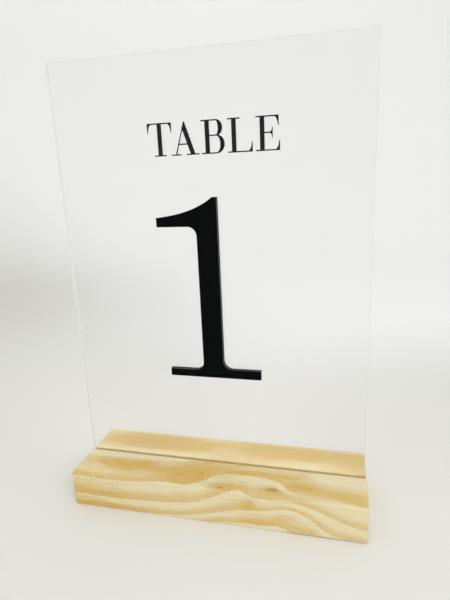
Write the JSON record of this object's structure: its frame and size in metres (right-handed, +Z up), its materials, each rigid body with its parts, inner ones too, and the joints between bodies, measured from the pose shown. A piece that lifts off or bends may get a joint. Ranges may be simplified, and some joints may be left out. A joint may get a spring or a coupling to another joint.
{
  "type": "table number holder",
  "caption": "Clear acrylic sheet with a raised black number and a small word in vinyl, standing in the groove of a planed pine bar.",
  "frame": {"origin": "middle of the bar's underside, which is the bottom centre of the whole object's box", "axes": "+X along the bar to the reader's right, +Y from the reader to the back, +Z up"},
  "size_m": [0.15, 0.048, 0.22],
  "materials": {
    "pine": "planed, sawn on the front face, unvarnished",
    "clear_acrylic": "clear, polished",
    "black_acrylic": "gloss face, laser-cut edges",
    "transfer_tape": "dull film",
    "black_vinyl": "satin film"
  },
  "bodies": {
    "base": {"wooden_base": "pine"},
    "sign": {"acrylic_plate": "clear_acrylic", "numeral_one": "black_acrylic", "numeral_adhesive": "transfer_tape", "letter_t": "black_vinyl", "letter_a": "black_vinyl", "letter_b": "black_vinyl", "letter_l": "black_vinyl", "letter_e": "black_vinyl"}
  },
  "joints": [
    {"name": "sign_lift", "type": "slide", "parent": "base", "child": "sign", "axis": [0, 0, 1], "range_m": [0, 0.02]}
  ]
}
